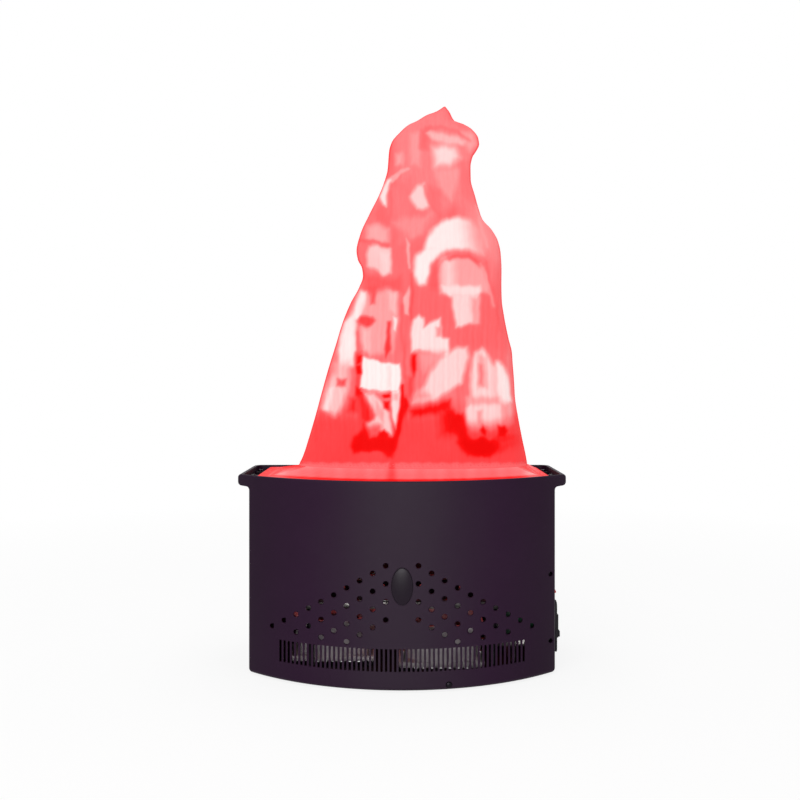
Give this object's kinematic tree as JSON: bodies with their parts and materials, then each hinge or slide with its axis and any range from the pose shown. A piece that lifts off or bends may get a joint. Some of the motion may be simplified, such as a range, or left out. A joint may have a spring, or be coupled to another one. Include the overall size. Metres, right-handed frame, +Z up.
{
  "type": "silk flame effect light",
  "caption": "Effect light: a moulded tub with a bowed, pierced front, fans and lamps inside it, a rocker switch, a fused mains inlet and a silk flame on its open top.",
  "frame": {"origin": "middle of the feet's level, under the middle of the housing", "axes": "+Z up, the bowed front faces -Y, the switch and the inlet are on +X"},
  "size_m": [0.315, 0.162, 0.5402],
  "materials": {
    "housing": "satin black moulded plastic with a faint purple cast",
    "trim": "smooth, slightly darker than the housing",
    "black": "plain black moulding",
    "foot_rubber": "matt",
    "screw": "blackened steel",
    "steel": "bright zinc-plated steel",
    "fan_metal": "cast, light grey",
    "board": "green laminate with dark chips",
    "lamp": "pale board with clear lamps that shine pinkish",
    "winding": "taped copper winding",
    "wire": "sleeved wires",
    "rocker_red": "red, smooth",
    "brass": "plated",
    "fuse_glass": "clear tube with metal ends",
    "silk": "thin silk lit from below, pale where folds catch the light"
  },
  "bodies": {
    "housing": {"badge_oval": "trim", "base_plate": "black", "base_screw_front": "screw", "base_screw_rear_left": "screw", "base_screw_rear_right": "screw", "bracket_screw_lower": "screw", "bracket_screw_upper": "screw", "driver_board": "board", "fan_harness": "wire", "fan_left_frame": "fan_metal", "fan_left_screw_front_left": "steel", "fan_left_screw_front_right": "steel", "fan_left_screw_rear_left": "steel", "fan_left_screw_rear_right": "steel", "fan_right_frame": "fan_metal", "fan_right_screw_front_left": "steel", "fan_right_screw_front_right": "steel", "fan_right_screw_rear_left": "steel", "fan_right_screw_rear_right": "steel", "foot_front_left": "foot_rubber", "foot_front_right": "foot_rubber", "foot_rear_left": "foot_rubber", "foot_rear_right": "foot_rubber", "frame_screw_front_left": "screw", "frame_screw_front_right": "screw", "frame_screw_rear_left": "screw", "frame_screw_rear_right": "screw", "housing_shell": "housing", "inlet_body": "black", "inlet_pin_earth": "brass", "inlet_pin_line": "brass", "inlet_pin_neutral": "brass", "inlet_screw_lower": "screw", "inlet_screw_upper": "screw", "lamp_board_front": "lamp", "lamp_board_rear": "lamp", "lamp_harness": "wire", "lamp_rail_front": "steel", "lamp_rail_rear": "steel", "lamp_screw_front_left": "screw", "lamp_screw_front_right": "screw", "lamp_screw_rear_left": "screw", "lamp_screw_rear_right": "screw", "mains_harness": "wire", "power_bracket": "steel", "secondary_lead": "wire", "silk_flame": "silk", "silk_frame": "black", "silk_skirt": "silk", "smoothing_capacitor": "black", "switch_body": "black", "transformer_coil": "winding", "transformer_core": "steel", "transformer_screw_left": "screw", "transformer_screw_right": "screw"},
    "rotor_left": {"fan_left_rotor": "black"},
    "rotor_right": {"fan_right_rotor": "black"},
    "rocker": {"switch_rocker": "rocker_red"},
    "fuse_tray": {"fuse_drawer": "black", "fuse": "fuse_glass"}
  },
  "joints": [
    {"name": "rotor_left_spin", "type": "hinge", "parent": "housing", "child": "rotor_left", "pos_m": [-0.06602, 0.01517, 0.03], "axis": [0, 0, 1], "continuous": true},
    {"name": "rotor_right_spin", "type": "hinge", "parent": "housing", "child": "rotor_right", "pos_m": [0.03702, -0.00484, 0.03], "axis": [0, 0, 1], "continuous": true},
    {"name": "rocker_tilt", "type": "hinge", "parent": "housing", "child": "rocker", "pos_m": [0.1435, -0.005, 0.078], "axis": [0, 1, 0], "range_deg": [0, 24]},
    {"name": "fuse_tray_slide", "type": "slide", "parent": "housing", "child": "fuse_tray", "axis": [1, 0, 0], "range_m": [0, 0.021]}
  ]
}
